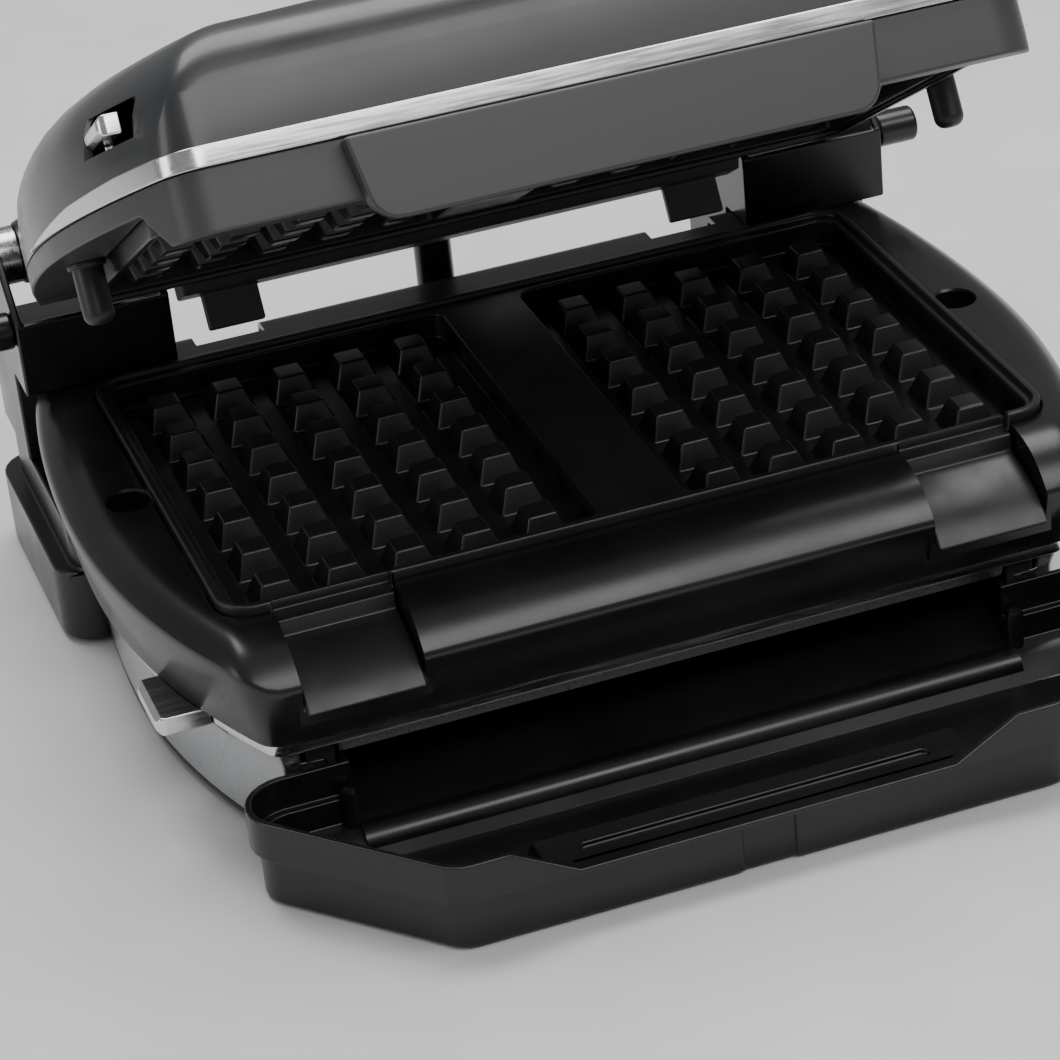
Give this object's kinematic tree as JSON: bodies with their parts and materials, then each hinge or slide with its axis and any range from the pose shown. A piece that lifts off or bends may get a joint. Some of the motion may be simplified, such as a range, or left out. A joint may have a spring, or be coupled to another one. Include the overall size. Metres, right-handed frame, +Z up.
{
  "type": "waffle maker",
  "caption": "Open clamshell waffle maker: hinged lid with handle, studded twin-waffle plates with spouts, release levers and a sliding front drip tray.",
  "frame": {"origin": "middle of the footprint on the table, with the lid open as stored", "axes": "+Z up, +X to the user's right, -Y towards the user, who faces the handle and the drip tray"},
  "size_m": [0.383, 0.358, 0.2809],
  "materials": {
    "black_housing": "satin black",
    "silver_shell": "silver paint",
    "bright_trim": "polished",
    "graphite_shell": "satin graphite",
    "lid_gloss": "gloss graphite metallic",
    "plate_coating": "die-cast, dark non-stick coating",
    "heater_steel": "heat-dulled",
    "bare_aluminium": "pressed sheet",
    "steel": "plated",
    "rubber": "matt",
    "dark_plastic": "moulded",
    "cream_plastic": "moulded",
    "wire_insulation": "silicone",
    "circuit_board": "solder mask",
    "amber_lens": "translucent"
  },
  "bodies": {
    "base": {"base_top_housing": "black_housing", "base_trim_band": "bright_trim", "base_lower_shell": "silver_shell", "rear_housing": "black_housing", "bottom_cover": "dark_plastic", "rubber_feet": "rubber", "base_screws": "steel", "hinge_tower_left": "black_housing", "hinge_tower_right": "black_housing", "hinge_pins": "steel", "hinge_washers": "steel", "cord_inlet": "dark_plastic", "cable_duct": "black_housing", "lower_plate": "plate_coating", "lower_heating_element": "heater_steel", "lower_reflector": "bare_aluminium", "lower_thermostat": "bare_aluminium", "thermal_fuse": "cream_plastic", "terminal_block": "cream_plastic", "base_wiring": "wire_insulation", "tray_guides": "dark_plastic", "base_lever_pins": "steel", "base_lever_springs": "steel", "hinge_side_caps": "black_housing"},
    "lid": {"lid_lower_shell": "graphite_shell", "lid_trim_band": "bright_trim", "lid_top_shell": "lid_gloss", "lid_handle": "graphite_shell", "upper_plate": "plate_coating", "upper_heating_element": "heater_steel", "upper_reflector": "bare_aluminium", "upper_thermostat": "bare_aluminium", "guide_pins": "dark_plastic", "lid_arm_left": "dark_plastic", "lid_arm_right": "dark_plastic", "lid_arm_screws": "steel", "lid_cable_sleeve": "black_housing", "lid_wiring": "wire_insulation", "control_board": "circuit_board", "indicator_lens": "amber_lens", "lid_lever_pins": "steel", "lid_lever_springs": "steel", "button_spring": "steel"},
    "drip_tray": {"drip_tray": "black_housing"},
    "lever_lower_left": {"lever_lower_left": "bright_trim"},
    "lever_lower_right": {"lever_lower_right": "bright_trim"},
    "lever_upper_left": {"lever_upper_left": "bright_trim"},
    "lever_upper_right": {"lever_upper_right": "bright_trim"},
    "power_button": {"power_button": "graphite_shell"}
  },
  "joints": [
    {"name": "lid_hinge", "type": "hinge", "parent": "base", "child": "lid", "pos_m": [0, 0.158, 0.125], "axis": [-1, 0, 0], "range_deg": [-31, 69]},
    {"name": "tray_slide", "type": "slide", "parent": "base", "child": "drip_tray", "axis": [0, -1, 0], "range_m": [0, 0.075]},
    {"name": "lower_left_release", "type": "hinge", "parent": "base", "child": "lever_lower_left", "pos_m": [-0.16, -0.054, 0.058], "axis": [0, -1, 0], "range_deg": [0, 8], "stiffness_Nm_per_rad": 1, "springref_deg": -5.73},
    {"name": "lower_right_release", "type": "hinge", "parent": "base", "child": "lever_lower_right", "pos_m": [0.16, -0.054, 0.058], "axis": [0, 1, 0], "range_deg": [0, 8], "stiffness_Nm_per_rad": 1, "springref_deg": -5.73},
    {"name": "upper_left_release", "type": "hinge", "parent": "lid", "child": "lever_upper_left", "pos_m": [-0.1555, -0.02861, 0.23188], "axis": [0, 0.8572, -0.515], "range_deg": [0, 7], "stiffness_Nm_per_rad": 1, "springref_deg": -5.73},
    {"name": "upper_right_release", "type": "hinge", "parent": "lid", "child": "lever_upper_right", "pos_m": [0.1555, -0.02861, 0.23188], "axis": [0, -0.8572, 0.515], "range_deg": [0, 7], "stiffness_Nm_per_rad": 1, "springref_deg": -5.73},
    {"name": "button_press", "type": "slide", "parent": "lid", "child": "power_button", "axis": [0, -0.515, -0.8572], "range_m": [0, 0.0015], "stiffness_N_per_m": 600, "springref_m": -0.001}
  ]
}
